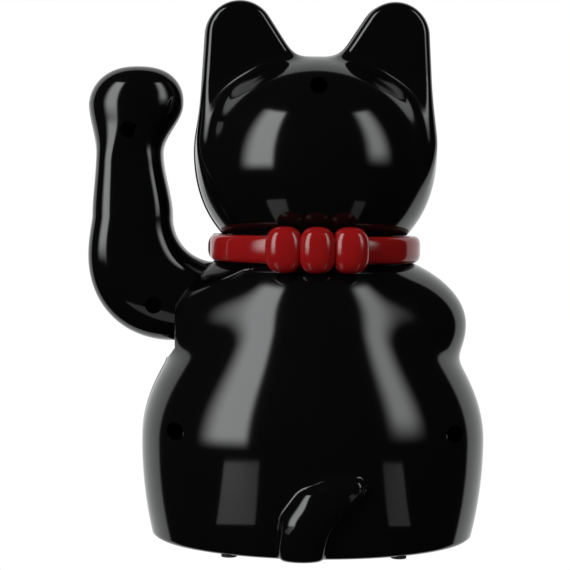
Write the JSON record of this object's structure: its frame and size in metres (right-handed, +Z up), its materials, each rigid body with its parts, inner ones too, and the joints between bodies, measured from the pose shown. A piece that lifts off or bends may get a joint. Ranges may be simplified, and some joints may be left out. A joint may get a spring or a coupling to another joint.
{
  "type": "beckoning cat figurine",
  "caption": "Seated plastic cat whose left arm waves on a pendulum kept swinging by a battery driven coil.",
  "frame": {"origin": "middle of the footprint, on the table that the four foot pads stand on", "axes": "+Z up, the cat faces -Y, its left (waving) side is +X"},
  "size_m": [0.1115, 0.0864, 0.1502],
  "materials": {
    "black_abs": "high gloss injection moulded black ABS",
    "base_abs": "fine textured black ABS",
    "collar_red": "gloss red moulded ABS",
    "gold_plating": "vacuum metallised gold ABS",
    "frame_abs": "natural ABS, as moulded",
    "steel": "bright zinc plated steel",
    "weight_steel": "plain turned steel",
    "magnet": "sintered ferrite",
    "bush_brass": "turned brass",
    "bobbin_white": "white nylon",
    "copper_wire": "enamelled copper wire",
    "board_green": "solder masked fibre board",
    "component_black": "moulded epoxy",
    "capacitor_blue": "shrink sleeve",
    "resistor_tan": "lacquered ceramic",
    "cell_jacket": "plain foil jacket",
    "rubber_grey": "soft vinyl",
    "slider_white": "white acetal",
    "wire_red": "PVC insulation",
    "wire_black": "PVC insulation"
  },
  "bodies": {
    "body": {"back_shell": "black_abs", "front_shell": "black_abs", "base_plate": "base_abs", "foot_pads": "rubber_grey", "shell_screws": "steel", "base_screws": "steel", "shaft_bushes": "bush_brass", "mechanism_frame": "frame_abs", "frame_screws": "steel", "coil_bobbin": "bobbin_white", "coil_winding": "copper_wire", "circuit_board": "board_green", "transistor": "component_black", "capacitor": "capacitor_blue", "resistor": "resistor_tan", "battery_cell": "cell_jacket", "contact_plate": "steel", "contact_spring": "steel", "switch_body": "component_black", "positive_wire": "wire_red", "negative_wire": "wire_black", "collar_back": "collar_red", "collar_front": "collar_red", "collar_bell": "gold_plating", "koban_coin": "gold_plating"},
    "arm": {"arm_back_shell": "black_abs", "arm_front_shell": "black_abs", "arm_screws": "steel", "arm_hub": "frame_abs", "arm_shaft": "steel", "shaft_clip": "steel", "pendulum_lever": "frame_abs", "counterweight": "weight_steel", "pendulum_magnet": "magnet"},
    "battery_door": {"battery_door": "base_abs"},
    "switch": {"switch_slider": "slider_white"}
  },
  "joints": [
    {"name": "arm_swing", "type": "hinge", "parent": "body", "child": "arm", "pos_m": [0, 0, 0.067], "axis": [1, 0, 0], "range_deg": [-25, 30]},
    {"name": "battery_door_slide", "type": "slide", "parent": "body", "child": "battery_door", "axis": [0, 0, -1], "range_m": [0, 0.012]},
    {"name": "switch_slide", "type": "slide", "parent": "body", "child": "switch", "axis": [1, 0, 0], "range_m": [0, 0.0024]}
  ]
}
